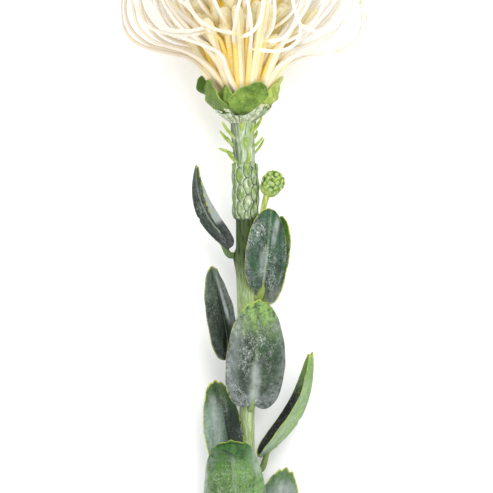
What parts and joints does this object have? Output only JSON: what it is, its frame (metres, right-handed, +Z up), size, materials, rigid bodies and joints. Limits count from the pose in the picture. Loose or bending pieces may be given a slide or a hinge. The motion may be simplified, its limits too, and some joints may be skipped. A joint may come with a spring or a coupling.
{
  "type": "pincushion protea, one cut flowering stem",
  "caption": "Cut pincushion protea lying down: cream bloom of long curled styles, green bract cup, scaly stem, side bud and leaves.",
  "frame": {"origin": "on the surface that the flower lies on, under the middle of its outline", "axes": "+Y runs along the stem towards the bloom, +Z is up off the surface, +X is to the right when the bloom is at the top"},
  "size_m": [0.1161, 0.3153, 0.0927],
  "materials": {
    "style": "satin",
    "bract": "satin",
    "stem": "matte",
    "bud": "matte",
    "leaf": "satin"
  },
  "bodies": {
    "root": {"stem": "stem", "involucre": "bract", "flower_head": "style", "side_bud": "bud", "leaf_top_left": "leaf", "leaf_top_right": "leaf", "leaf_top_right_rear": "leaf", "leaf_upper_left": "leaf", "leaf_middle_front": "leaf", "leaf_middle_rear": "leaf", "leaf_lower_left": "leaf", "leaf_lower_right": "leaf", "leaf_bottom_front": "leaf", "leaf_bottom_right": "leaf", "leaf_bottom_rear": "leaf"}
  },
  "joints": []
}
